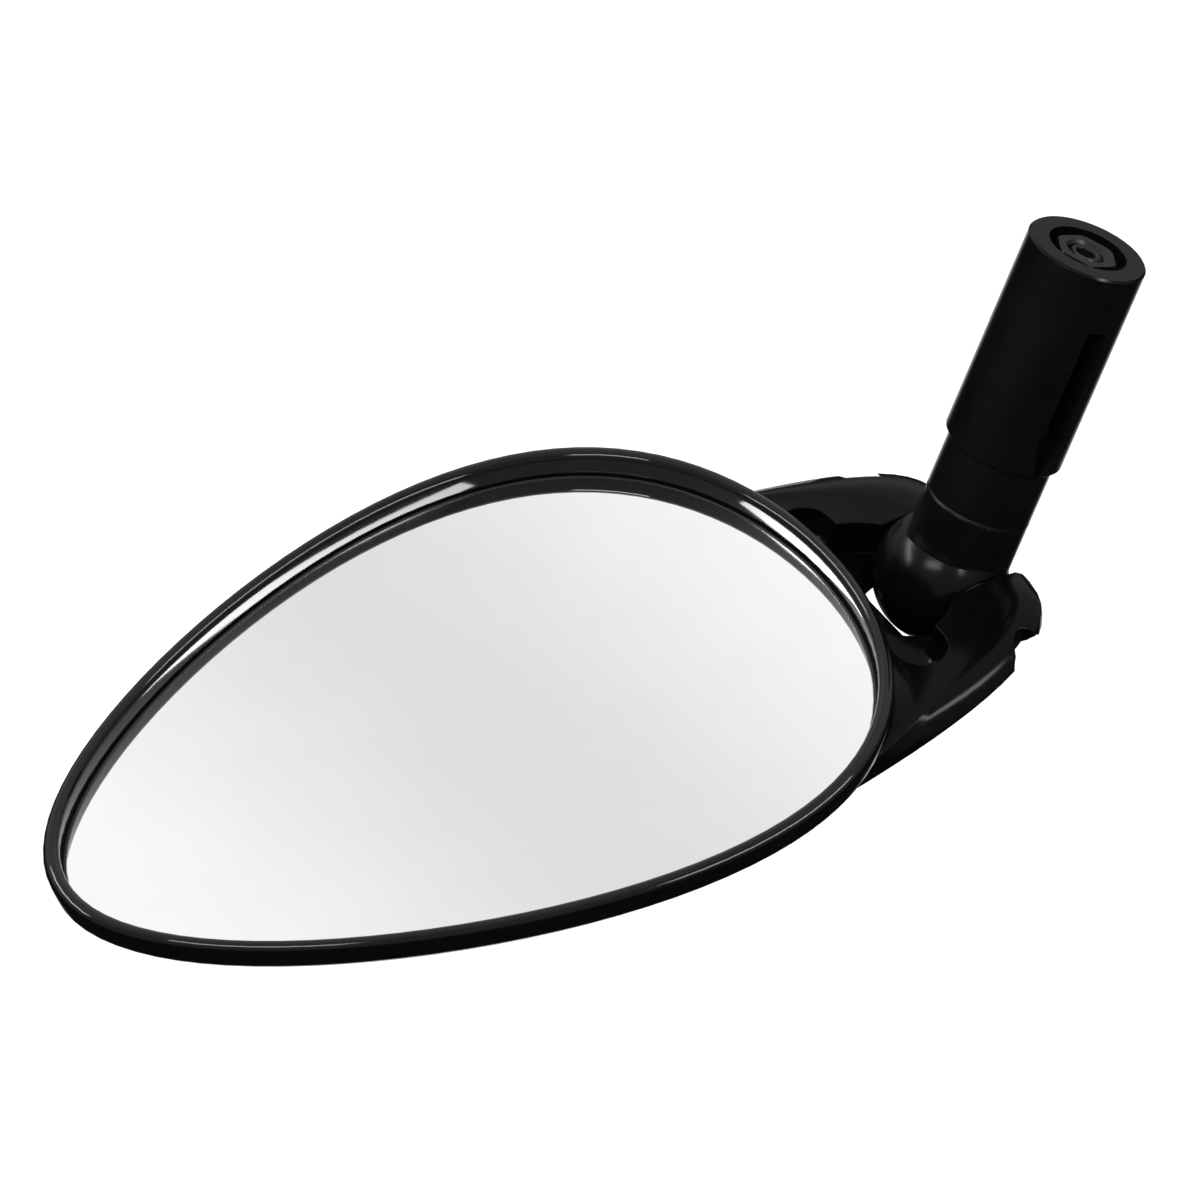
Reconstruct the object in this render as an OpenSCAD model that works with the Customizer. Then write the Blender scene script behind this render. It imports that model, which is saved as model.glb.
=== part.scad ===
// Bar-end mirror for a motorcycle.
// An egg-shaped convex glass sits in a rim ring on a moulded housing. The wide end of the housing
// runs out into a fork of two ears. A knuckle pivots between the ears and swivels on the draw bolt
// of a split expander sleeve, which is clamped inside the open end of a handlebar.
// The origin is on the sleeve's axis at its outer end. +X runs from the narrow end of the glass
// towards the fork, +Y along the hinge axis and +Z out of the glass. Millimetres.

/* [Mirror outline] */
// Length of the egg's two long half-axes together
mirror_length = 120; // [100:1:150]
// Width of the egg across its widest part
mirror_width = 85; // [72:1:100]
// How much wider the fork end is than the free end
egg_taper = 0.17; // [0.05:0.01:0.25]
// How far the outline is drawn out towards the free end
egg_skew = 0.074; // [0:0.002:0.1]

/* [Rim and glass] */
// Wall of the rim ring, seen from the front
rim_wall = 2.2; // [1.6:0.1:3.5]
// Height of the rim ring above the housing's mouth
rim_height = 3.9; // [3.6:0.1:5]
// How far the rim's outside draws in towards the housing
rim_taper = 0.65; // [0.2:0.05:1]
// Height of the rounded crown of the rim ring
rim_crown = 1.1; // [0.6:0.1:2]
// Radius of curvature of the convex glass
glass_radius = 1400; // [1000:10:2000]
// Thickness of the glass
glass_thickness = 1.6; // [1.4:0.1:2]
// Depth of the glass's middle below the rim's crown
glass_drop = 2.8; // [2.2:0.1:3]
// Width of the seal between glass and rim
seal_width = 0.6; // [0.4:0.1:0.8]
// How deep the seal's groove goes into the housing's mouth
seal_depth = 1; // [0.6:0.1:1.2]
// Thickness of the foam pad behind the glass
pad_thickness = 1; // [0.5:0.1:2]
// Distance from the pad's edge to the edge of the glass
pad_margin = 5; // [4:0.5:10]
// Thickness of the carrier plate
carrier_thickness = 2.6; // [2.2:0.1:3]
// Distance from the carrier plate's edge to the edge of the glass
carrier_margin = 11; // [10:0.5:14]

/* [Carrier screws] */
// Diameter of the screw shanks
screw_dia = 3; // [2:0.1:4]
// Diameter of the screw heads
screw_head_dia = 5.6; // [4.5:0.1:7]
// Height of the screw heads
screw_head_height = 1.2; // [0.8:0.1:1.6]
// Length of the screw shanks under the head
screw_length = 6; // [5:0.5:9]
// Diameter of the bosses that take the screws
boss_dia = 7; // [6:0.5:10]

/* [Housing] */
// Depth of the back shell below its mouth
shell_depth = 19.5; // [18:0.5:24]
// How far the shell's lip draws in for each millimetre of depth
lip_slope = 0.85; // [0.6:0.05:0.9]
// Wall of the back shell
shell_wall = 2.2; // [1.6:0.1:3]
// Fullness of the back shell: 2 makes its section a parabola, more is squarer
shell_fullness = 2.2; // [2:0.1:2.4]
// How far the deepest part lies from the middle towards the fork
shell_shift = 14; // [0:1:18]

/* [Fork] */
// Distance of the hinge axis from the middle of the egg
hinge_reach = 73.3; // [72:0.1:80]
// Depth of the hinge axis below the rim's crown
hinge_depth = 14.4; // [14:0.1:16]
// How far the ears reach past the hinge axis
ear_reach = 9.1; // [8:0.1:11]
// Depth of the ears' top faces below the rim's crown
ear_drop = 9.9; // [9:0.1:10.5]
// Share of its width that the fork loses towards its end, at the top faces
fork_taper = 0.6; // [0.4:0.01:0.65]
// The same on its sides and underside
fork_under_taper = 0.25; // [0.15:0.01:0.5]
// Squareness of the fork's end seen from the front, at the top faces
fork_squareness = 9; // [5:0.5:10]
// The same on its underside
fork_under_squareness = 4.2; // [3:0.1:6]
// Width of the gap between the ears
fork_gap = 17.6; // [16.6:0.1:19]
// Distance from the hinge axis to the back wall of the gap
gap_depth = 13.3; // [12:0.1:14]
// Radius of the scoop between the rim and the ears
scoop_radius = 4.3; // [3:0.1:5]
// Half-length of the scoop
scoop_half = 18.5; // [14:0.5:20]
// Radius of the pocket that clears the knuckle's collar
pocket_radius = 13; // [11:0.5:15]

/* [Hinge bolt] */
// Diameter of the hinge bolt
bolt_dia = 4; // [3.5:0.1:4.5]
// Diameter of the bolt's head
bolt_head_dia = 7; // [6.5:0.1:7.4]
// Height of the bolt's head
bolt_head_height = 3.4; // [2.5:0.1:4]
// Size of the bolt's hexagon socket, across flats
socket_size = 3; // [2.5:0.5:4]
// Thickness of the spring washer
spring_washer_thickness = 1; // [0.6:0.1:1.2]
// Wall of each ear under the bolt's head and under the nut
ear_seat = 2.6; // [1.8:0.1:3]
// Size of the hinge nut, across flats
hinge_nut_size = 7; // [6:0.1:7.4]
// Height of the hinge nut
hinge_nut_height = 3.2; // [2.8:0.1:4]

/* [Knuckle] */
// Radius of the knuckle's ball
knuckle_radius = 9.5; // [9.3:0.1:10.2]
// Distance from the hinge axis to the stem's axis
hinge_offset = 1.2; // [0:0.1:2]
// Distance from the hinge axis to the collar's face
collar_height = 5.6; // [5:0.1:6]
// How far the neck runs on into the ball below the collar's face
neck_root = 3; // [2:0.1:4]
// Diameter of the neck
neck_dia = 15.2; // [14:0.1:16]
// Length of the neck above the collar
neck_length = 6.6; // [6:0.1:10]
// Wall at the top of the neck, under which the draw bolt's head is held
neck_roof = 2.4; // [2:0.1:3]
// Outer diameter of the hinge bushes
bush_dia = 6; // [5.4:0.1:7]
// Length of each hinge bush inside the knuckle
bush_length = 3.2; // [2:0.1:3.4]
// Thickness of the bushes' flanges
bush_flange = 0.5; // [0.3:0.1:1]
// Diameter of the bushes' flanges
bush_flange_dia = 8.6; // [7.6:0.1:8.8]
// Tilt of the stem from the glass's normal, as folded here
stem_tilt = 25.5; // [0:0.5:50]

/* [Expander] */
// Diameter of the sleeve, for handlebars of 22 mm
sleeve_dia = 17; // [16:0.1:18]
// Length of the sleeve
sleeve_length = 31.8; // [26:0.1:40]
// Diameter of the sleeve's bore
sleeve_bore = 10.4; // [9:0.1:11]
// Chamfer at both ends of the sleeve
sleeve_chamfer = 0.3; // [0.2:0.1:1]
// Number of slots in the sleeve
slot_count = 2; // [2:1:4]
// Width of the slots
slot_width = 3.2; // [1.5:0.1:3.6]
// Length of the slots from the sleeve's outer end
slot_length = 23.4; // [16:0.1:24]
// Turn of the first slot from the hinge axis
slot_turn = 3; // [-45:1:45]
// Length of the wedge-shaped mouth of the slots
slot_mouth = 6; // [4:0.5:8]
// Length of the expander's shoulder
shoulder_length = 8.9; // [6:0.1:14]
// Length of the cone inside the sleeve
cone_length = 8; // [6:0.5:10]
// Diameter of the cone where it enters the sleeve
cone_dia = 13.4; // [12:0.1:14]
// Thickness of the swivel washer
swivel_washer_thickness = 0.5; // [0.3:0.1:1]
// Diameter of the draw bolt
draw_dia = 5; // [4:0.5:6]
// Diameter of the draw bolt's head
draw_head_dia = 8.5; // [7:0.1:9]
// Height of the draw bolt's head
draw_head_height = 3.2; // [2.8:0.1:3.6]
// Thickness of the flat washer under that head
head_washer_thickness = 0.6; // [0.5:0.1:0.8]
// Thickness of the wave washer on it
wave_washer_thickness = 0.5; // [0.3:0.1:0.6]
// Size of the end nut, across flats
end_nut_size = 8; // [7:0.1:8.8]
// Height of the end nut
end_nut_height = 3.6; // [3:0.1:4]
// Size of the draw bolt's hexagon socket, across flats
draw_socket_size = 4; // [3:0.5:5]
// Diameter of the round recess in the free end
recess_dia = 11.2; // [10.5:0.1:12]
// Depth of the round recess
recess_depth = 2.4; // [1.5:0.1:3]
// How far the nut lies below the free end
nut_sink = 0.4; // [0:0.1:1]

/* [Clearances] */
// Radial clearance of a shaft that turns in its bore
running = 0.05; // [0.02:0.01:0.1]
// Clearance between parts that don't touch
clear = 0.3; // [0.2:0.05:0.4]

/* [Hidden] */
$fn = 96;

half_length = mirror_length / 2;
half_width = mirror_width / 2;
eps = 0.01;
far_away = 100;

// Heights in the head, measured up from the rim's crown
mouth_z = -rim_height;
glass_back_z = -glass_drop - glass_thickness;
pad_back_z = glass_back_z - pad_thickness;
carrier_back_z = pad_back_z - carrier_thickness;
carrier_depth = glass_thickness + pad_thickness;
glass_centre_z = -glass_drop - glass_radius;
shell_bottom_z = mouth_z - shell_depth;
glass_grow = -rim_wall - seal_width;

// The glass's edge lies lowest at the free end, in a rebate of the housing's lip
seat_z = glass_back_z - sag(egg(180, glass_grow)[0]) - clear / 3;
dome_depth = seat_z - shell_bottom_z;

// Places of the three carrier screws on the egg
screw_places = [
    [-half_length * 0.62, 0],
    [half_length * 0.36, half_width * 0.52],
    [half_length * 0.36, -half_width * 0.52]
];

// The hinge axis in the part's frame, back along the stem from the sleeve's outer end
stem_stack = shoulder_length + swivel_washer_thickness + neck_length + collar_height;
hinge_x = -stem_stack * sin(stem_tilt) - hinge_offset * cos(stem_tilt);
hinge_z = -stem_stack * cos(stem_tilt) + hinge_offset * sin(stem_tilt);
collar_z = collar_height - stem_stack;
neck_top_z = collar_z + neck_length;

// Places along the hinge axis, measured from the middle of the fork
gap_half = fork_gap / 2;
seat_y = gap_half + ear_seat;
knuckle_half = gap_half - bush_flange - running;
pin_recess_dia = bolt_head_dia + 2 * clear;

// Places along the stem, measured up from the sleeve's outer end
nut_top_z = sleeve_length - nut_sink;
nut_base_z = nut_top_z - end_nut_height;
draw_seat_z = neck_top_z - neck_roof;
draw_head_top_z = draw_seat_z - head_washer_thickness - wave_washer_thickness;
draw_bore_dia = draw_head_dia + 2 * clear;
cone_tip_dia = sleeve_bore - 2 * running;

// Egg-shaped outline
steps = 96;
turns = [for (i = [0:steps - 1]) 360 * i / steps];

function egg(t, grow) = [
    (half_length + grow) * (cos(t) - egg_skew * cos(2 * t)),
    (half_width + grow) * sin(t) * (1 + egg_taper * cos(t))
];

module egg_plate(grow, low, high) {
    translate([0, 0, low])
        linear_extrude(high - low)
            polygon([for (t = turns) egg(t, grow)]);
}

// Space under the sphere that lies depth below the glass's face
module under_glass(depth) {
    translate([0, 0, glass_centre_z])
        sphere(glass_radius - depth, $fn = 720);
}

// How far the glass has fallen away from its middle at the distance r
function sag(r) = glass_radius - sqrt(glass_radius * glass_radius - r * r);

// The screws' seats in the carrier and the tops of their bosses follow the glass's curve
function screw_seat_z(p) = carrier_back_z - sag(norm(p)) + 1;
function screw_tip_z(p) = screw_seat_z(p) - screw_length;
function boss_top_z(p) = carrier_back_z - sag(norm(p) + boss_dia / 2);

// Closed skin over loops of equal count, each a list of points
module skin(loops) {
    n = len(loops[0]);
    rows = len(loops);
    points = [for (loop = loops) each loop];
    sides = [
        for (r = [0:rows - 2], i = [0:n - 1])
            let (j = (i + 1) % n, a = r * n, b = a + n)
                each [[a + i, b + j, a + j], [a + i, b + i, b + j]]
    ];
    bottom = [for (i = [0:n - 1]) i];
    top = [for (i = [n - 1:-1:0]) (rows - 1) * n + i];
    polyhedron(points, concat([bottom], sides, [top]), convexity = 10);
}

// Ring swept round the egg: profile is a list of [offset, height], anticlockwise, with a third
// value of 1 at the points that follow the glass's curve
module egg_ring(profile) {
    n = len(profile);
    points = [
        for (t = turns, p = profile)
            let (e = egg(t, p[0]))
                [each e, p[1] - (p[2] == 1 ? sag(norm(e)) : 0)]
    ];
    faces = [
        for (r = [0:steps - 1], i = [0:n - 1])
            let (j = (i + 1) % n, a = r * n, b = ((r + 1) % steps) * n)
                each [[a + i, b + j, a + j], [a + i, b + i, b + j]]
    ];
    polyhedron(points, faces, convexity = 10);
}

// Frame of the head: origin in the middle of the egg, in the plane of the rim's crown
module head_frame() {
    translate([hinge_x - hinge_reach, 0, hinge_z + hinge_depth])
        children();
}

// Frame of the stem: z along the draw bolt, z = 0 at the sleeve's outer end
module stem_frame() {
    rotate([0, stem_tilt, 0])
        children();
}

// Frame of the hinge: z along the hinge axis, towards the far ear
module hinge_frame() {
    translate([hinge_x, 0, hinge_z])
        rotate([-90, 0, 0])
            children();
}

module ring(outer_dia, inner_dia, low, high) {
    translate([0, 0, low])
        difference() {
            cylinder(d = outer_dia, h = high - low);
            translate([0, 0, -1])
                cylinder(d = inner_dia, h = high - low + 2);
        }
}

module hexagon(flats, low, high) {
    translate([0, 0, low])
        cylinder(d = flats / cos(30), h = high - low, $fn = 6);
}

// Hexagon nut with its corners chamfered on top
module nut(flats, height, hole_dia) {
    difference() {
        intersection() {
            hexagon(flats, 0, height);
            cylinder(d1 = flats / cos(30) + 2 * height, d2 = flats, h = height + 0.4);
        }
        translate([0, 0, -1])
            cylinder(d = hole_dia, h = height + 2);
    }
}

// Back shell and fork: loops of the outer surface, from the bottom up to the mouth

// Offset of the lip's outside from the egg at height z
function lip(z) = -rim_taper - lip_slope * (mouth_z - z);

// Share of the egg's size left at a share of the dome's depth
function dome_scale(share) = pow(1 - share, 1 / shell_fullness);

function dome_centre(z) = shell_shift * pow(max(0, seat_z - z) / dome_depth, 1.15);

// Point of the shell's section at height z: the lip, and the dome below it
function dome(t, z) =
    let (e = egg(t, lip(max(z, seat_z))), k = dome_scale(max(0, seat_z - z) / dome_depth))
        [dome_centre(z) + k * e[0], k * e[1]];

// Angle on the egg at which the fork's sides leave it
root_angle = 75;
// Slope of the fork's top face: [share of the fork drawn out, height]
top_steps = 9;
top_edge = 0.97;
top_lift = mouth_z - 0.7 + ear_drop;
fork_top = concat(
    [
        for (i = [0:top_steps])
            let (drawn = top_edge * i / top_steps)
                [drawn, top_lift * pow(1 - drawn, 3.9) - ear_drop]
    ],
    [for (down = [0.6, 1.5, 2.7, 4.5]) [1, -ear_drop - down]]
);
top_last = len(fork_top) - 1;
fork_full_z = fork_top[top_last][1];
// Height of the last section above the flat keel
keel_height = 0.3;
keel_z = shell_bottom_z + keel_height;

// Share of the way from the fork's widest level down to the shell's bottom
function under_share(z) = z > fork_full_z ? 0 : (fork_full_z - z) / (fork_full_z - shell_bottom_z);

// How far the round end of the ears has drawn back at height z
nose_length = 4.8;
nose_height = 4.8;
function nose(z) =
    let (up = min(1, max(0, (z + ear_drop + nose_height) / nose_height)))
        nose_length * (1 - sqrt(1 - up * up));

// Point of the fork's section at height z, s from -1 to 1 across its end
function fork(s, z) =
    let (
        root = dome(root_angle, z),
        q = under_share(z),
        reach = (hinge_reach + ear_reach - root[0]) * pow(1 - pow(q, 2.6), 1 / 2.6),
        way = cos(90 * s),
        down = min(1, max(0, (-ear_drop - z) / taper_span)),
        square = fork_squareness + (fork_under_squareness - fork_squareness) * down,
        end_round = pow(1 - pow(way, square), 1 / square),
        taper = fork_taper + (fork_under_taper - fork_taper) * down
    )
    [
        root[0] + reach * way - nose(z) * pow(way, 6),
        sign(s) * root[1] * (1 - taper * pow(way, fork_bend)) * end_round
    ];

// Height over which the fork's sides fill out below the ears' top faces
taper_span = 2.6;
// How late the fork's sides bend inwards: 1 makes them straight
fork_bend = 1.25;
dome_steps = 56;
fork_steps = 44;

function shell_loop(z, drawn) = concat(
    [
        for (i = [0:dome_steps])
            [each dome(root_angle + (360 - 2 * root_angle) * i / dome_steps, z), z]
    ],
    [
        for (i = [1:fork_steps - 1])
            let (
                s = -1 + 2 * i / fork_steps,
                a = dome(root_angle * s, z),
                b = fork(s, z)
            )
            [each (a * (1 - drawn) + b * drawn), z]
    ]
);

under_steps = 9;
under_z = [
    for (i = [0:under_steps])
        keel_z + (fork_full_z - keel_z) * (1 - cos(90 * i / under_steps))
];

module shell_outside() {
    skin(concat(
        [for (i = [0:under_steps - 1]) shell_loop(under_z[i], 1)],
        [for (i = [top_last:-1:0]) shell_loop(fork_top[i][1], fork_top[i][0])],
        [shell_loop(mouth_z, 0)]
    ));
}

// The hollow keeps the shell's wall all round and leaves the screw bosses standing
module shell_hollow() {
    rows = 8;
    inner_depth = dome_depth - shell_wall;
    inner_grow = lip(seat_z) - shell_wall * 0.9;
    difference() {
        skin(concat(
            [
                for (i = [rows:-1:0])
                    let (
                        share = sin(86 * i / rows),
                        z = seat_z - inner_depth * share,
                        k = dome_scale(share),
                        x = dome_centre(z)
                    )
                    [for (t = turns) let (e = egg(t, inner_grow)) [x + k * e[0], k * e[1], z]]
            ],
            [[for (t = turns) [each egg(t, inner_grow), seat_z + 1]]]
        ));
        for (p = screw_places)
            translate([p[0], p[1], shell_bottom_z - 1])
                cylinder(d = boss_dia, h = boss_top_z(p) - shell_bottom_z + 1);
    }
    egg_plate(glass_grow, seat_z, mouth_z + 1);
    egg_plate(-rim_wall, mouth_z - seal_depth, mouth_z + 1);
}

module housing() {
    head_frame()
        color("#151515")
            difference() {
                shell_outside();
                shell_hollow();
                screw_holes();
                fork_cuts();
            }
}

module screw_holes() {
    for (p = screw_places)
        translate([p[0], p[1], screw_tip_z(p)])
            cylinder(d = screw_dia, h = screw_length);
}

// Gap, scoop and pocket for the knuckle, and the seats of bolt and nut
module fork_cuts() {
    translate([hinge_reach - gap_depth + gap_half, 0, -far_away / 2]) {
        cylinder(r = gap_half, h = far_away);
        translate([0, -gap_half, 0])
            cube([far_away, fork_gap, far_away]);
    }
    scoop_end = scoop_half - scoop_radius;
    translate([hinge_reach - gap_depth, 0, -ear_drop + 0.3]) {
        rotate([90, 0, 0])
            cylinder(r = scoop_radius, h = 2 * scoop_end, center = true);
        translate([-scoop_radius, -scoop_end, 0])
            cube([2 * scoop_radius, 2 * scoop_end, far_away]);
        for (side = [-1, 1])
            translate([0, side * scoop_end, 0]) {
                sphere(scoop_radius);
                cylinder(r = scoop_radius, h = far_away);
            }
    }
    translate([hinge_reach - gap_depth, 0, -hinge_depth - 1])
        intersection() {
            cylinder(r = pocket_radius, h = far_away);
            translate([-scoop_radius, -pocket_radius, 0])
                cube([far_away, 2 * pocket_radius, far_away]);
        }
    translate([hinge_reach, 0, -hinge_depth])
        rotate([-90, 0, 0]) {
            cylinder(d = bolt_dia + 2 * running, h = far_away, center = true);
            translate([0, 0, -far_away])
                cylinder(d = pin_recess_dia, h = far_away - seat_y);
            hexagon(hinge_nut_size + 2 * running, seat_y, far_away);
        }
}

module rim_ring() {
    crown_steps = 8;
    mid = -rim_wall / 2;
    profile = concat(
        [
            [-rim_wall, mouth_z],
            [-rim_taper, mouth_z]
        ],
        [
            for (i = [0:crown_steps])
                let (a = 180 * i / crown_steps)
                    [mid - mid * cos(a), -rim_crown + rim_crown * sin(a)]
        ]
    );
    head_frame()
        color("#121212")
            egg_ring(profile);
}

module mirror_glass() {
    head_frame()
        color("#dfe3e6")
            difference() {
                intersection() {
                    egg_plate(glass_grow, glass_back_z - 4, 0);
                    under_glass(0);
                }
                under_glass(glass_thickness);
            }
}

module glass_seal() {
    top_z = -glass_drop - clear / 3;
    groove_z = mouth_z - seal_depth;
    head_frame()
        color("#1c1c1c")
            egg_ring([
                [glass_grow, groove_z],
                [-rim_wall, groove_z],
                [-rim_wall, top_z, 1],
                [-rim_wall - seal_width / 2, top_z + seal_width / 4, 1],
                [glass_grow, top_z, 1]
            ]);
}

module glass_pad() {
    head_frame()
        color("#3a3a3a")
            difference() {
                intersection() {
                    egg_plate(glass_grow - pad_margin, pad_back_z - 4, 0);
                    under_glass(glass_thickness);
                }
                under_glass(glass_thickness + pad_thickness);
            }
}

module carrier_plate() {
    head_frame()
        color("#2b2b2b")
            difference() {
                intersection() {
                    egg_plate(glass_grow - carrier_margin, carrier_back_z - 4, 0);
                    under_glass(carrier_depth);
                }
                under_glass(carrier_depth + carrier_thickness);
                for (p = screw_places)
                    translate([p[0], p[1], 0]) {
                        translate([0, 0, screw_seat_z(p) - 5])
                            cylinder(d = screw_dia + 2 * running, h = 10);
                        translate([0, 0, screw_seat_z(p)])
                            cylinder(d = screw_head_dia + 2 * clear, h = 10);
                    }
            }
}

module carrier_screws() {
    head_frame()
        color("#b8bcc0")
            for (p = screw_places)
                translate([p[0], p[1], screw_seat_z(p)])
                    difference() {
                        union() {
                            cylinder(d = screw_head_dia, h = screw_head_height);
                            translate([0, 0, -screw_length])
                                cylinder(d = screw_dia, h = screw_length);
                        }
                        translate([0, 0, screw_head_height / 2])
                            for (turn = [0, 90])
                                rotate([0, 0, turn])
                                    cube([screw_dia, screw_head_height / 2, screw_head_height], center = true);
                    }
}

module hinge_bolt() {
    head_y = seat_y + spring_washer_thickness;
    hinge_frame()
        color("#2e2e30")
            difference() {
                union() {
                    translate([0, 0, -head_y - eps])
                        cylinder(d = bolt_dia, h = head_y + seat_y + hinge_nut_height + eps);
                    translate([0, 0, -head_y - bolt_head_height])
                        cylinder(d1 = bolt_head_dia - 0.8, d2 = bolt_head_dia, h = 0.4);
                    translate([0, 0, -head_y - bolt_head_height + 0.4])
                        cylinder(d = bolt_head_dia, h = bolt_head_height - 0.4);
                }
                hexagon(socket_size, -head_y - bolt_head_height - 1, -head_y - bolt_head_height / 2);
            }
}

module spring_washer() {
    hinge_frame()
        color("#4a4a4c")
            ring(bolt_head_dia, bolt_dia + 2 * clear, -seat_y - spring_washer_thickness, -seat_y);
}

module hinge_nut() {
    hinge_frame()
        color("#4a4a4c")
            translate([0, 0, seat_y])
                nut(hinge_nut_size, hinge_nut_height, bolt_dia);
}

module bush() {
    ring(bush_dia, bolt_dia + 2 * running, knuckle_half - bush_length, knuckle_half + bush_flange);
    ring(bush_flange_dia, bush_dia - eps, knuckle_half, knuckle_half + bush_flange);
}

module near_bush() {
    hinge_frame()
        color("#d8d8d0")
            mirror([0, 0, 1])
                bush();
}

module far_bush() {
    hinge_frame()
        color("#d8d8d0")
            bush();
}

// Ball with two flats for the bushes, a flat collar on top and the neck above it
module knuckle() {
    color("#171717")
        difference() {
            union() {
                difference() {
                    hinge_frame()
                        intersection() {
                            sphere(knuckle_radius);
                            cylinder(r = 2 * knuckle_radius, h = 2 * knuckle_half, center = true);
                        }
                    stem_frame()
                        translate([0, 0, collar_z])
                            cylinder(r = far_away, h = far_away);
                }
                stem_frame()
                    translate([0, 0, collar_z - neck_root])
                        cylinder(d = neck_dia, h = neck_length + neck_root);
            }
            hinge_frame()
                cylinder(d = bush_dia, h = far_away, center = true);
            stem_frame() {
                translate([0, 0, draw_seat_z - far_away])
                    cylinder(d = draw_bore_dia, h = far_away);
                cylinder(d = draw_dia + 2 * running, h = far_away, center = true);
            }
        }
}

module swivel_washer() {
    stem_frame()
        color("#8a8a84")
            ring(neck_dia - 0.6, draw_dia + 2 * clear, neck_top_z, neck_top_z + swivel_washer_thickness);
}

module expander_cone() {
    stem_frame()
        color("#1b1b1b")
            difference() {
                union() {
                    translate([0, 0, -shoulder_length])
                        cylinder(d = neck_dia, h = shoulder_length);
                    cylinder(d1 = cone_dia, d2 = cone_tip_dia, h = cone_length);
                }
                cylinder(d = draw_dia + 2 * clear, h = far_away, center = true);
            }
}

// Outline of one slot: straight, with a wedge-shaped mouth that ends in a fine saw cut
module slot_outline() {
    half = slot_width / 2;
    saw_half = 0.4;
    mouth_half = half * 1.45;
    polygon([
        [-saw_half, -1],
        [saw_half, -1],
        [saw_half, 0.4],
        [mouth_half, slot_mouth],
        [half, slot_mouth + 1.2],
        [half, slot_length],
        [-half, slot_length],
        [-half, slot_mouth + 1.2],
        [-mouth_half, slot_mouth],
        [-saw_half, 0.4]
    ]);
}

module split_sleeve() {
    wall_end = slot_length + 1.5;
    stem_frame()
        color("#161616")
            difference() {
                rotate_extrude()
                    polygon([
                        [draw_dia / 2 + clear, 0],
                        [sleeve_dia / 2 - sleeve_chamfer, 0],
                        [sleeve_dia / 2, sleeve_chamfer],
                        [sleeve_dia / 2, sleeve_length - sleeve_chamfer],
                        [sleeve_dia / 2 - sleeve_chamfer, sleeve_length],
                        [draw_dia / 2 + clear, sleeve_length]
                    ]);
                translate([0, 0, -eps])
                    cylinder(d = sleeve_bore, h = wall_end + eps);
                cylinder(d1 = cone_dia + 2 * running, d2 = sleeve_bore, h = cone_length);
                translate([0, 0, sleeve_length - recess_depth])
                    cylinder(d = recess_dia, h = far_away);
                hexagon(end_nut_size + 2 * running, nut_base_z, far_away);
                for (i = [0:slot_count - 1])
                    rotate([0, 0, -90 - slot_turn + 360 * i / slot_count])
                        rotate([90, 0, 90])
                            linear_extrude(far_away)
                                slot_outline();
            }
}

module draw_bolt() {
    stem_frame()
        color("#3c3c3e")
            difference() {
                union() {
                    translate([0, 0, draw_head_top_z - eps])
                        cylinder(d = draw_dia, h = nut_top_z - draw_head_top_z + eps - 0.2);
                    translate([0, 0, draw_head_top_z - draw_head_height])
                        cylinder(d = draw_head_dia, h = draw_head_height);
                }
                hexagon(
                    draw_socket_size,
                    draw_head_top_z - draw_head_height - 1,
                    draw_head_top_z - draw_head_height / 2
                );
            }
}

module head_washer() {
    stem_frame()
        color("#6a6a6c")
            ring(
                draw_head_dia, draw_dia + 2 * running,
                draw_head_top_z, draw_head_top_z + head_washer_thickness
            );
}

module wave_washer() {
    stem_frame()
        color("#8c8c90")
            ring(
                draw_head_dia, draw_dia + 2 * running,
                draw_seat_z - wave_washer_thickness, draw_seat_z
            );
}

module end_nut() {
    stem_frame()
        color("#3c3c3e")
            translate([0, 0, nut_base_z])
                nut(end_nut_size, end_nut_height, draw_dia);
}

housing();
rim_ring();
mirror_glass();
glass_seal();
glass_pad();
carrier_plate();
carrier_screws();
hinge_bolt();
spring_washer();
hinge_nut();
knuckle();
near_bush();
far_bush();
swivel_washer();
expander_cone();
split_sleeve();
draw_bolt();
head_washer();
wave_washer();
end_nut();
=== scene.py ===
"""Looks for the bar-end mirror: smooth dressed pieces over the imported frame, finishes, light and camera."""
import math

import bmesh
import bpy
from mathutils import Matrix, Vector

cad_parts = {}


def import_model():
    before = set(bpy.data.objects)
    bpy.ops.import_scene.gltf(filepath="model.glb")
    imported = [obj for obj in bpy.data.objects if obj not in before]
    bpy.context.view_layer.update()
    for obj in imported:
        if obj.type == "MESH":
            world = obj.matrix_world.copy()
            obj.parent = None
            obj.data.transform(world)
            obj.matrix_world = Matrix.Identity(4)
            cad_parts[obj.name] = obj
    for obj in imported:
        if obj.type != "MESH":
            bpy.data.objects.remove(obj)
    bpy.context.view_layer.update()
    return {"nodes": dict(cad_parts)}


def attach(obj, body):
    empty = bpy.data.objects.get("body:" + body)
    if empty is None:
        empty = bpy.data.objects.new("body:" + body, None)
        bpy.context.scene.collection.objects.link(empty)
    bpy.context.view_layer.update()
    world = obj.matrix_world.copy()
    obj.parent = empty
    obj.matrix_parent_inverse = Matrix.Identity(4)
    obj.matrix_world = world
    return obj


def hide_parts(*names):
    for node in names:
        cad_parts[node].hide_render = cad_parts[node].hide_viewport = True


MM = 0.001

# Frame of the stem: its axis leaves the seam of neck and sleeve, and leans from vertical
STEM_TILT = math.radians(25.5)
STEM_AXIS = Vector((math.sin(STEM_TILT), 0, math.cos(STEM_TILT)))
STEM_SIDE = Vector((math.cos(STEM_TILT), 0, -math.sin(STEM_TILT)))
# Pivot of the fold, on whose axis the hinge bolt lies
HINGE = Vector((-10.3821, 0, -18.9792)) * MM
# Centre of the mirror's egg in the row frame
HEAD_CENTRE = Vector((-83.682, 0, -4.579)) * MM

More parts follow.
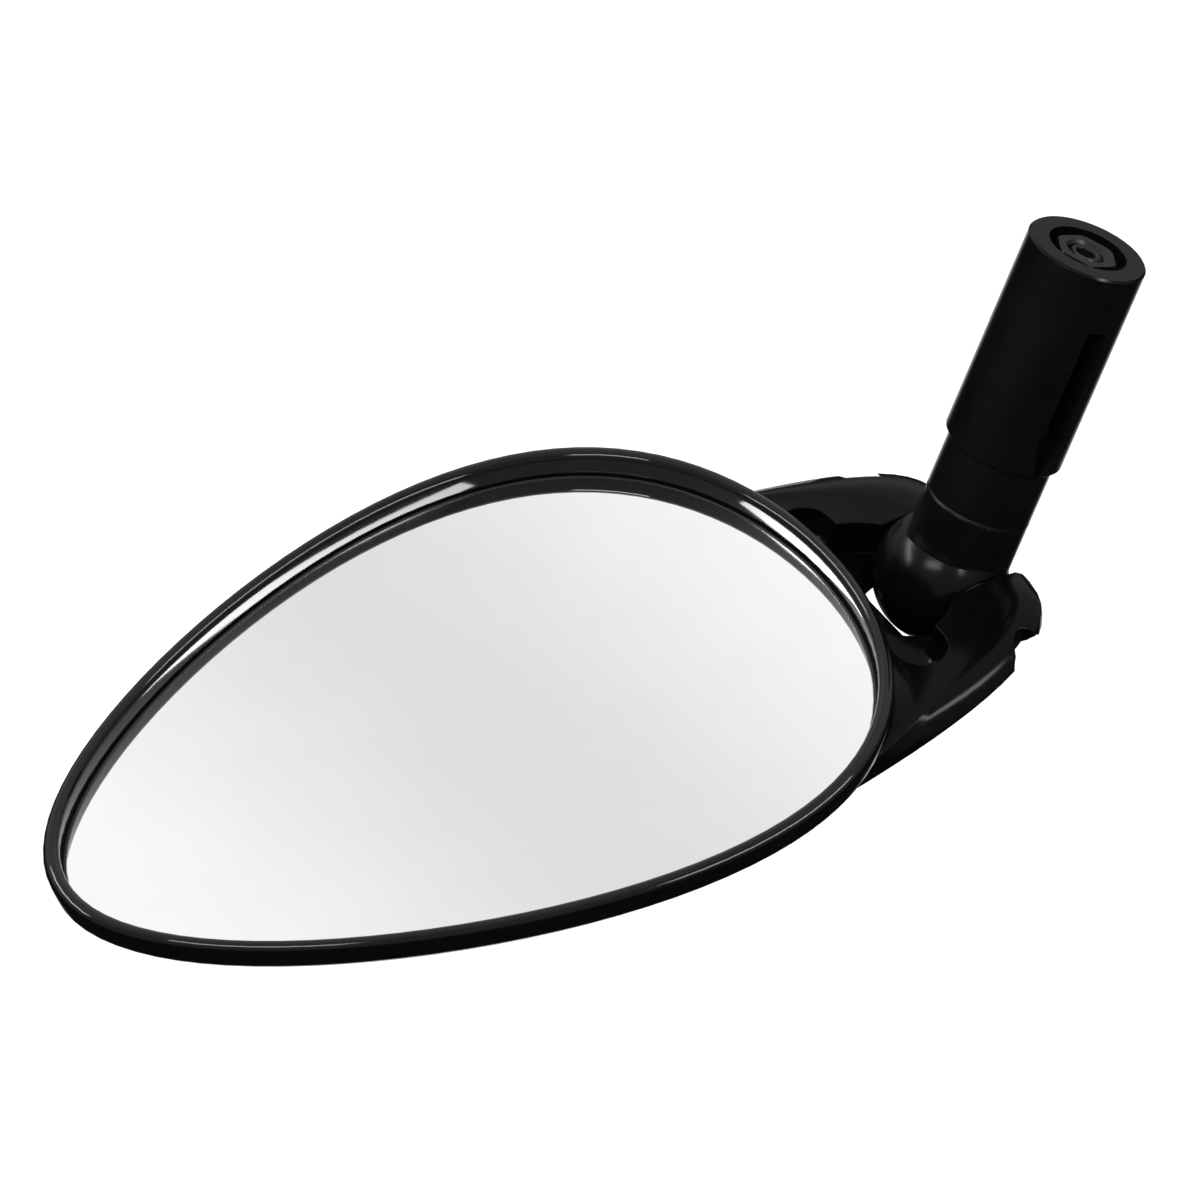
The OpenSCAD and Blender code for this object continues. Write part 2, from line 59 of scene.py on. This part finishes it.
# The photograph's camera: its axes in the row frame and its place seen from the egg's centre
CAMERA_RIGHT = Vector((0.85047853, -0.52494165, -0.03350427))
CAMERA_BACK = Vector((-0.36469029, -0.63435287, 0.68161384))
CAMERA_OFFSET = Vector((15.775, 13.755, 1000.0)) * MM
CAMERA_LENS = 225
CAMERA_SENSOR = 36
CAMERA_NEAR = 0.01
CAMERA_FAR = 50

# Direction that the glass mirrors to the camera, and how the room darkens away from it
GLASS_SKY = Vector((0.34527, 0.63411, 0.69187))
ROOM_EDGE = (0.2, 0.97)
ROOM_DARK = 0.5
# Direction across the soft band that the glass shows, the band's width and its tones
BAND_ACROSS = Vector((-0.92601, 0.11032, 0.36101))
BAND_WIDTH = 0.125
BAND_LOW = 0.80
BAND_HIGH = 1.04
# Heights between which the mirrored room fades to its dark floor
HORIZON_EDGE = (-0.10, 0.25)
HORIZON_DARK = 0.03
# Direction that the outlines of the stem mirror at a glancing angle
OUTLINE_SKY = Vector((0.365, 0.634, -0.682))
OUTLINE_EDGE = (0.86, 0.97)
OUTLINE_GLOW = 0.9
# Strength of the room for all but mirrored light
ROOM_LIGHT = 1.25

# Lights: direction from the egg's centre, distance and size in metres, power in watts
KEY_SOFTBOX = {"direction": (-0.45, -0.35, 0.95), "distance": 1.6, "size": (0.7, 0.25), "power": 9}
FRONT_STRIP = {"direction": (0.505, -0.560, 0.657), "distance": 1.5, "size": (1.30, 0.17), "power": 15}
BACK_STRIP = {"direction": (-0.485, 0.577, 0.657), "distance": 1.5, "size": (1.20, 0.15), "power": 12}
# Floor, in metres: how far it lies below the egg's centre and half its width
FLOOR_DROP = 0.30
FLOOR_HALF = 6.0

# Noises of every finish, the broad one in cells a metre, and the part of their range that is used
FINE_NOISE = {"Detail": 3.0, "Roughness": 0.55}
BROAD_NOISE = {"Scale": 90.0, "Detail": 4.0, "Roughness": 0.6}
NOISE_RANGE = (0.3, 0.7)
# Samples of the rounded edges
BEVEL_SAMPLES = 4
# Stretch of the grain along the stem on turned metal
TURNED_GRAIN = (1, 1, 26)
# Places of a mix node's two inputs and of its result, for each kind
MIX_SOCKETS = {"RGBA": (6, 7, 2), "FLOAT": (2, 3, 0)}

# Angle in degrees above which an edge stays sharp, on most pieces, on stem and glass, and on the rim
CREASE = 32
STEM_CREASE = 30
RIM_CREASE = 40
# Distance in millimetres within which the points of a CAD mesh are welded
WELD = 0.004
# Steps round a turned piece, and steps along each turn of a thread
TURN_STEPS = 96
THREAD_STEPS = 10
# Depth of a thread as a share of its pitch
THREAD_DEPTH = 0.5

# Fasteners in millimetres, along their own axes: the draw bolt and its nut in the stem
DRAW_BOLT = {"radius": 2.5, "head_radius": 4.25, "start": -16.1, "head_end": -12.9, "end": 31.2,
             "socket": 4.0, "socket_depth": 1.6, "thread_from": 19.0, "pitch": 0.8, "tip_socket": 2.6}
END_NUT = {"start": 27.8, "end": 31.4, "across": 8.0, "bore": 2.52}
# The hinge bolt and its nut across the ears
HINGE_BOLT = {"radius": 2.0, "head_radius": 3.5, "start": -15.8, "head_end": -12.4, "end": 14.6,
              "socket": 3.0, "socket_depth": 1.7, "thread_from": 10.0, "pitch": 0.7, "tip_socket": 0}
HINGE_NUT = {"start": 11.4, "end": 14.6, "across": 7.0, "bore": 2.02}
# Bolt head: its chamfer, the rounding within the chamfer as shares of it, and the relief underneath
HEAD_CHAMFER = 0.35
HEAD_ROUND_ALONG = 0.35
HEAD_ROUND_ACROSS = 0.3
HEAD_RELIEF = 0.1
# Bolt sockets: depth of the chamfer and width of the mouth as a share of the hexagon
SOCKET_CHAMFER = 0.25
SOCKET_MOUTH = 1.22
TIP_CHAMFER = 0.2
TIP_MOUTH = 1.2
TIP_DEPTH = 1.5
# Taper at the end of a bolt
LEAD_ALONG = 0.35
LEAD_ACROSS = 0.5
# Nuts: rounding of the corners as a share of the flat, its depth, and the countersink of the bore
NUT_ROUNDING = 1.08
NUT_CHAMFER = 0.3
COUNTERSINK_ALONG = 0.4
COUNTERSINK_ACROSS = 0.45

# Web that closes the foot of the throat, in millimetres and degrees about the hinge, seen from the side
WEB_RADIUS = 10.0
WEB_ARC = range(193, 229, 3)
WEB_BACK = -14.6
WEB_FOOT = -7.2
WEB_HALF = 9.0
WEB_RISE = 0.4
WEB_LEDGE = 0.5


# ---------- node helpers ----------


class Nodes:
    """A short way to build a node tree."""

    def __init__(self, tree):
        self.tree = tree
        tree.nodes.clear()

    def add(self, kind, settings=None, **inputs):
        """A node with its settings, and its inputs by name with _ for each space."""
        node = self.tree.nodes.new(kind)
        for key, value in (settings or {}).items():
            setattr(node, key, value)
        for key, value in inputs.items():
            self.put(node.inputs[key.replace("_", " ")], value)
        return node

    def put(self, socket, value):
        """Links the socket to another node's output, or gives it a constant."""
        if isinstance(value, bpy.types.NodeSocket):
            self.tree.links.new(value, socket)
        else:
            socket.default_value = value

    def math(self, operation, *values):
        node = self.add("ShaderNodeMath", {"operation": operation})
        for socket, value in zip(node.inputs, values):
            self.put(socket, value)
        return node.outputs[0]

    def mix(self, kind, factor, a, b):
        node = self.add("ShaderNodeMix", {"data_type": kind})
        first, second, result = MIX_SOCKETS[kind]
        for index, value in ((0, factor), (first, a), (second, b)):
            self.put(node.inputs[index], value)
        return node.outputs[result]

    def ramp(self, value, start, end, low, high, soft=False):
        """Low at the start and below, high at the end and above, and in between straight or soft."""
        shape = {"interpolation_type": "SMOOTHSTEP" if soft else "LINEAR"}
        return self.add("ShaderNodeMapRange", shape, Value=value, From_Min=start, From_Max=end,
                        To_Min=low, To_Max=high).outputs[0]

    def facing(self, direction, axis):
        """How far a direction points along an axis, from -1 to 1."""
        node = self.add("ShaderNodeVectorMath", {"operation": "DOT_PRODUCT"})
        self.put(node.inputs[0], direction)
        self.put(node.inputs[1], axis.normalized())
        return node.outputs["Value"]


# ---------- finishes ----------


def grey(value, blue=1.0):
    """A near-neutral colour, a little cooler where blue is above 1."""
    return (value, value, value * blue, 1.0)


def place(nodes, turned):
    """Object coordinates in metres, or the same turned so that z runs along the stem."""
    coordinates = nodes.add("ShaderNodeTexCoord").outputs["Object"]
    if not turned:
        return coordinates
    return nodes.add("ShaderNodeMapping", {"vector_type": "POINT"}, Vector=coordinates,
                     Rotation=(0, -STEM_TILT, 0)).outputs[0]


def material(name, dark, light, roughness, grain, relief, metallic=0.0, specular=0.5,
             edge=0.0, turned=False, stretch=(1, 1, 1)):
    """Colour, roughness and relief all vary over the surface with two sizes of noise.

    grain is in cells a metre, relief and edge in millimetres. stretch draws the grain out, for turned
    or brushed metal. edge rounds the light on sharp edges.
    """
    made = bpy.data.materials.new(name)
    made.use_nodes = True
    nodes = Nodes(made.node_tree)
    where = place(nodes, turned)
    scaled = nodes.add("ShaderNodeMapping", {"vector_type": "POINT"}, Vector=where, Scale=stretch)
    fine = nodes.add("ShaderNodeTexNoise", Vector=scaled.outputs[0], Scale=grain, **FINE_NOISE).outputs[0]
    broad = nodes.add("ShaderNodeTexNoise", Vector=where, **BROAD_NOISE).outputs[0]
    cloud = nodes.math("MULTIPLY", nodes.math("ADD", fine, broad), 0.5)
    bump = nodes.add("ShaderNodeBump", Strength=1.0, Distance=relief * MM, Height=fine)
    if edge:
        rounded = nodes.add("ShaderNodeBevel", {"samples": BEVEL_SAMPLES}, Radius=edge * MM)
        nodes.put(bump.inputs["Normal"], rounded.outputs[0])
    shader = nodes.add(
        "ShaderNodeBsdfPrincipled", Metallic=metallic, Specular_IOR_Level=specular,
        Base_Color=nodes.mix("RGBA", nodes.ramp(cloud, *NOISE_RANGE, 0.0, 1.0), dark, light),
        Roughness=nodes.ramp(broad, *NOISE_RANGE, *roughness), Normal=bump.outputs[0])
    nodes.add("ShaderNodeOutputMaterial", Surface=shader.outputs[0])
    return made


def make_materials():
    """One material for each finish."""
    finishes = {
        "housing_gloss": {
            "dark": grey(0.0012, 1.05), "light": grey(0.0022, 1.05), "roughness": (0.10, 0.16),
            "specular": 0.07, "grain": 420, "relief": 0.004, "edge": 0.35},
        "rim_gloss": {
            "dark": grey(0.0012), "light": grey(0.002, 1.05), "roughness": (0.04, 0.08),
            "specular": 0.28, "grain": 300, "relief": 0.002, "edge": 0.2},
        "mirror": {
            "dark": grey(0.90, 1.005), "light": grey(0.93, 1.005), "roughness": (0.015, 0.03),
            "metallic": 1.0, "grain": 60, "relief": 0.0, "edge": 0.2},
        "seal": {
            "dark": grey(0.006), "light": grey(0.012), "roughness": (0.5, 0.65),
            "specular": 0.3, "grain": 2600, "relief": 0.02},
        "pad": {
            "dark": grey(0.03), "light": grey(0.06), "roughness": (0.85, 0.95),
            "specular": 0.2, "grain": 2200, "relief": 0.12},
        "carrier": {
            "dark": grey(0.02), "light": grey(0.03), "roughness": (0.5, 0.62),
            "grain": 3000, "relief": 0.02, "edge": 0.2},
        "zinc_steel": {
            "dark": grey(0.42, 1.03), "light": grey(0.56, 1.05), "roughness": (0.25, 0.38),
            "metallic": 1.0, "grain": 1500, "relief": 0.006, "edge": 0.12},
        "black_steel": {
            "dark": grey(0.012), "light": grey(0.026, 1.04), "roughness": (0.30, 0.42),
            "metallic": 0.85, "grain": 1700, "relief": 0.008, "edge": 0.12},
        "washer_steel": {
            "dark": grey(0.06), "light": grey(0.11, 1.03), "roughness": (0.28, 0.4),
            "metallic": 1.0, "grain": 1500, "relief": 0.005, "edge": 0.08},
        "black_metal": {
            "dark": grey(0.0015, 1.05), "light": grey(0.0034, 1.06), "roughness": (0.16, 0.24),
            "specular": 0.12, "grain": 500, "relief": 0.006, "edge": 0.09,
            "turned": True, "stretch": TURNED_GRAIN},
        "bush_nylon": {
            "dark": grey(0.006), "light": grey(0.012), "roughness": (0.45, 0.6),
            "specular": 0.3, "grain": 2400, "relief": 0.01, "edge": 0.12},
        "ring_metal": {
            "dark": grey(0.12), "light": grey(0.22, 1.03), "roughness": (0.25, 0.35),
            "metallic": 1.0, "grain": 900, "relief": 0.004, "edge": 0.06,
            "turned": True, "stretch": TURNED_GRAIN},
    }
    return {name: material(name, **settings) for name, settings in finishes.items()}


# ---------- pieces ----------


def finish_mesh(mesh_data, crease):
    """Faces that look outwards and are smooth, with sharp edges at more than the angle in degrees."""
    bmesh.ops.recalc_face_normals(mesh_data, faces=mesh_data.faces)
    for edge in mesh_data.edges:
        edge.smooth = len(edge.link_faces) != 2 or edge.calc_face_angle(0) <= math.radians(crease)
    for face in mesh_data.faces:
        face.smooth = True


def new_piece(name, mesh_data, body, slot, finishes):
    """A visible piece that rides on a body."""
    mesh = bpy.data.meshes.new(name)
    mesh_data.to_mesh(mesh)
    mesh_data.free()
    if "custom_normal" in mesh.attributes:
        mesh.attributes.remove(mesh.attributes["custom_normal"])
    mesh.materials.clear()
    mesh.materials.append(finishes[slot])
    for polygon in mesh.polygons:
        polygon.material_index = 0
    piece = bpy.data.objects.new(name, mesh)
    bpy.context.scene.collection.objects.link(piece)
    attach(piece, body)
    return piece


def smooth_shell(frame, node, body, slot, finishes, crease):
    """A welded copy of a CAD node with smooth shading, which stands for the node."""
    mesh_data = bmesh.new()
    mesh_data.from_mesh(frame["nodes"][node].data)
    bmesh.ops.remove_doubles(mesh_data, verts=mesh_data.verts, dist=WELD * MM)
    finish_mesh(mesh_data, crease)
    piece = new_piece(node + "_skin", mesh_data, body, slot, finishes)
    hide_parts(node)


def keep_node(frame, node, slot, finishes):
    """A CAD node that stays as it is and gets its finish."""
    mesh = frame["nodes"][node].data
    mesh.materials.clear()
    mesh.materials.append(finishes[slot])


def axis_frame(origin, along, side):
    """Matrix whose z runs along an axis and whose x is the side given."""
    z = along.normalized()
    x = side.normalized()
    return Matrix.Translation(origin) @ Matrix((x, z.cross(x), z)).transposed().to_4x4()


def hexagon(across):
    """Radius of a hexagon at each angle, with a corner at zero."""
    return lambda angle: across / 2 / math.cos(angle % (math.pi / 3) - math.pi / 6)


def circle(radius):
    """The same radius at each angle."""
    return lambda angle: radius


def cut_by(outline, radius):
    """An outline that nowhere passes a radius."""
    return lambda angle: min(outline(angle), radius)


def thread_turn(radius, depth, turn):
    """Radius at each angle of a thread that has gone round by some turns."""
    return lambda angle: radius - depth * abs(2 * ((angle / (2 * math.pi) + turn) % 1.0) - 1)


def thread_rings(radius, start, end, pitch):
    """Rings of a real helix, each the same thread a little further round, that fades in at the start."""
    steps = int((end - start) / pitch * THREAD_STEPS)
    rings = []
    for step in range(1, steps + 1):
        z = start + (end - start) * step / steps
        fade = min(1.0, (z - start) / pitch)
        rings.append((z, thread_turn(radius, THREAD_DEPTH * pitch * fade, z / pitch)))
    return rings


def bolt_rings(size):
    """Socket head, shank and threaded end, from the floor of the head's socket to the tip."""
    head, shank = size["head_radius"], size["radius"]
    start, head_end, end = size["start"], size["head_end"], size["end"]
    socket = hexagon(size["socket"])
    rings = [
        (start + size["socket_depth"], socket),
        (start + SOCKET_CHAMFER, socket),
        (start, circle(size["socket"] / 2 * SOCKET_MOUTH)),
        (start, circle(head - HEAD_CHAMFER)),
        (start + HEAD_CHAMFER * HEAD_ROUND_ALONG, circle(head - HEAD_CHAMFER * HEAD_ROUND_ACROSS)),
        (start + HEAD_CHAMFER, circle(head)),
        (head_end - HEAD_RELIEF, circle(head)),
        (head_end, circle(head - HEAD_RELIEF)),
        (head_end, circle(shank)),
        (size["thread_from"], circle(shank)),
    ]
    rings += thread_rings(shank, size["thread_from"], end - LEAD_ALONG, size["pitch"])
    rings.append((end, circle(shank - LEAD_ACROSS)))
    if size["tip_socket"]:
        tip = hexagon(size["tip_socket"])
        rings += [
            (end, circle(size["tip_socket"] / 2 * TIP_MOUTH)),
            (end - TIP_CHAMFER, tip),
            (end - TIP_DEPTH, tip),
        ]
    return rings


def nut_rings(size):
    """Hexagon with rounded corners at both ends and a countersunk bore."""
    outline = hexagon(size["across"])
    rounded = cut_by(outline, size["across"] / 2 * NUT_ROUNDING)
    low, high = size["start"], size["end"]
    bore = circle(size["bore"])
    countersink = circle(size["bore"] + COUNTERSINK_ACROSS)
    return [
        (low, rounded),
        (low + NUT_CHAMFER, outline),
        (high - NUT_CHAMFER, outline),
        (high, rounded),
        (high, countersink),
        (high - COUNTERSINK_ALONG, bore),
        (low + COUNTERSINK_ALONG, bore),
        (low, countersink),
    ]


def turned_piece(name, rings, matrix, body, slot, finishes, closed):
    """A body built ring by ring along an axis; closed joins the last ring to the first."""
    mesh_data = bmesh.new()
    loops = []
    for z, radius in rings:
        loop = []
        for step in range(TURN_STEPS):
            angle = 2 * math.pi * step / TURN_STEPS
            r = radius(angle)
            point = Vector((r * math.cos(angle), r * math.sin(angle), z)) * MM
            loop.append(mesh_data.verts.new(matrix @ point))
        loops.append(loop)
    pairs = list(zip(loops, loops[1:])) + ([(loops[-1], loops[0])] if closed else [])
    for low, high in pairs:
        for step in range(TURN_STEPS):
            after = (step + 1) % TURN_STEPS
            mesh_data.faces.new((low[step], low[after], high[after], high[step]))
    if not closed:
        mesh_data.faces.new(list(reversed(loops[0])))
        mesh_data.faces.new(loops[-1])
    finish_mesh(mesh_data, CREASE)
    return new_piece(name, mesh_data, body, slot, finishes)


def add_fasteners(finishes):
    """Threaded bolts and chamfered nuts in the places of the plain ones."""
    stem = axis_frame(Vector((0, 0, 0)), STEM_AXIS, STEM_SIDE)
    hinge = axis_frame(HINGE, Vector((0, 1, 0)), Vector((1, 0, 0)))
    for name, rings, matrix, body, closed in (
        ("draw_bolt", bolt_rings(DRAW_BOLT), stem, "insert", False),
        ("end_nut", nut_rings(END_NUT), stem, "insert", True),
        ("hinge_bolt", bolt_rings(HINGE_BOLT), hinge, "head", False),
        ("hinge_nut", nut_rings(HINGE_NUT), hinge, "head", True),
    ):
        piece = turned_piece(name + "_dressed", rings, matrix, body, "black_steel", finishes, closed)
        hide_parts(name)


def add_throat_web(finishes):
    """The thin wall at the foot of the throat, round the ball, below the path of the neck."""
    outline = []
    for angle in map(math.radians, WEB_ARC):
        outline.append((WEB_RADIUS * math.cos(angle), max(WEB_FOOT, WEB_RADIUS * math.sin(angle))))
    first_x, first_z = outline[0]
    top = first_z + WEB_RISE
    outline += [(WEB_BACK, WEB_FOOT), (WEB_BACK, top), (first_x - WEB_LEDGE, top)]
    mesh_data = bmesh.new()
    near, far = ([mesh_data.verts.new(HINGE + Vector((x, y, z)) * MM) for x, z in outline]
                 for y in (-WEB_HALF, WEB_HALF))
    for step in range(len(outline)):
        after = (step + 1) % len(outline)
        mesh_data.faces.new((near[step], near[after], far[after], far[step]))
    mesh_data.faces.new(near)
    mesh_data.faces.new(list(reversed(far)))
    finish_mesh(mesh_data, CREASE)
    new_piece("throat_web", mesh_data, "head", "housing_gloss", finishes)


def dress_part(frame, finishes):
    """All the visible pieces of the mirror."""
    for node, body, slot, crease in (
        ("housing", "head", "housing_gloss", CREASE),
        ("rim_ring", "head", "rim_gloss", RIM_CREASE),
        ("glass_seal", "head", "seal", RIM_CREASE),
        ("knuckle", "arm", "black_metal", STEM_CREASE),
        ("split_sleeve", "insert", "black_metal", STEM_CREASE),
        ("expander_cone", "insert", "black_metal", STEM_CREASE),
        ("mirror_glass", "head", "mirror", STEM_CREASE),
    ):
        smooth_shell(frame, node, body, slot, finishes, crease)
    for node, slot in (
        ("glass_pad", "pad"),
        ("carrier_plate", "carrier"),
        ("carrier_screws", "zinc_steel"),
        ("spring_washer", "washer_steel"),
        ("near_bush", "bush_nylon"),
        ("far_bush", "bush_nylon"),
        ("swivel_washer", "ring_metal"),
        ("head_washer", "washer_steel"),
        ("wave_washer", "washer_steel"),
    ):
        keep_node(frame, node, slot, finishes)
    add_fasteners(finishes)
    add_throat_web(finishes)


# ---------- scene ----------


def add_camera():
    """The camera that took the photograph."""
    back = CAMERA_BACK.normalized()
    right = CAMERA_RIGHT.normalized()
    turn = Matrix((right, back.cross(right), back)).transposed()
    data = bpy.data.cameras.new("photo_camera")
    data.lens = CAMERA_LENS
    data.sensor_width = CAMERA_SENSOR
    data.clip_start = CAMERA_NEAR
    data.clip_end = CAMERA_FAR
    camera = bpy.data.objects.new("photo_camera", data)
    camera.matrix_world = Matrix.Translation(HEAD_CENTRE + turn @ CAMERA_OFFSET) @ turn.to_4x4()
    bpy.context.scene.collection.objects.link(camera)
    bpy.context.scene.camera = camera


def add_world():
    """An even white room. Mirrored, it has a soft darker band, a dark floor and a glow at the outlines."""
    world = bpy.data.worlds.new("studio")
    bpy.context.scene.world = world
    world.use_nodes = True
    nodes = Nodes(world.node_tree)
    direction = nodes.add("ShaderNodeTexCoord").outputs["Generated"]
    across = nodes.math("ABSOLUTE", nodes.facing(direction, BAND_ACROSS))
    band = nodes.ramp(across, 0.0, BAND_WIDTH, BAND_LOW, BAND_HIGH, soft=True)
    height = nodes.add("ShaderNodeSeparateXYZ", Vector=direction).outputs["Z"]
    lift = nodes.ramp(height, *HORIZON_EDGE, HORIZON_DARK, 1.0)
    room = nodes.ramp(nodes.facing(direction, GLASS_SKY), *ROOM_EDGE, ROOM_DARK, 1.0, soft=True)
    glow = nodes.ramp(nodes.facing(direction, OUTLINE_SKY), *OUTLINE_EDGE, 0.0, OUTLINE_GLOW, soft=True)
    sky = nodes.math("MULTIPLY", nodes.math("MULTIPLY", band, lift), room)
    mirrored = nodes.math("ADD", sky, glow)
    glossy = nodes.add("ShaderNodeLightPath").outputs["Is Glossy Ray"]
    strength = nodes.mix("FLOAT", glossy, ROOM_LIGHT, mirrored)
    background = nodes.add("ShaderNodeBackground", Color=(1, 1, 1, 1), Strength=strength)
    nodes.add("ShaderNodeOutputWorld", Surface=background.outputs[0])


def add_area(name, direction, distance, size, power, fill):
    """A rectangular light that faces the egg's centre; without fill it shows in gloss alone."""
    data = bpy.data.lights.new(name, "AREA")
    data.shape = "RECTANGLE"
    data.size, data.size_y = size
    data.energy = power
    light = bpy.data.objects.new(name, data)
    towards = Vector(direction).normalized()
    light.location = HEAD_CENTRE + towards * distance
    light.rotation_euler = towards.to_track_quat("Z", "Y").to_euler()
    light.visible_diffuse = fill
    bpy.context.scene.collection.objects.link(light)


def clear_from_below(finish):
    """The back of the face lets light through, so that the floor doesn't hide the part from below."""
    nodes = finish.node_tree.nodes
    links = finish.node_tree.links
    surface = next(node for node in nodes if node.type == "OUTPUT_MATERIAL").inputs["Surface"]
    paper = surface.links[0].from_socket
    mix = nodes.new("ShaderNodeMixShader")
    links.new(nodes.new("ShaderNodeNewGeometry").outputs["Backfacing"], mix.inputs[0])
    links.new(paper, mix.inputs[1])
    links.new(nodes.new("ShaderNodeBsdfTransparent").outputs[0], mix.inputs[2])
    links.new(mix.outputs[0], surface)


def add_floor():
    """A plain pale floor below the part, which the gloss doesn't mirror."""
    finish = material("floor_paper", grey(0.88), grey(0.92), (0.85, 0.95),
                      specular=0.1, grain=300, relief=0.05)
    clear_from_below(finish)
    low = HEAD_CENTRE.z - FLOOR_DROP
    corners = [(x * FLOOR_HALF, y * FLOOR_HALF, low) for x, y in ((-1, -1), (1, -1), (1, 1), (-1, 1))]
    mesh = bpy.data.meshes.new("floor")
    mesh.from_pydata(corners, [], [(0, 1, 2, 3)])
    mesh.materials.append(finish)
    floor = bpy.data.objects.new("floor", mesh)
    bpy.context.scene.collection.objects.link(floor)
    floor.visible_glossy = False


def add_stage():
    """Camera, room, lights and floor."""
    add_camera()
    add_world()
    bpy.context.scene.view_settings.view_transform = "Standard"
    add_area("key_softbox", **KEY_SOFTBOX, fill=True)
    add_area("front_strip", **FRONT_STRIP, fill=False)
    add_area("back_strip", **BACK_STRIP, fill=False)
    add_floor()


def main():
    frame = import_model()
    dress_part(frame, make_materials())
    add_stage()


main()
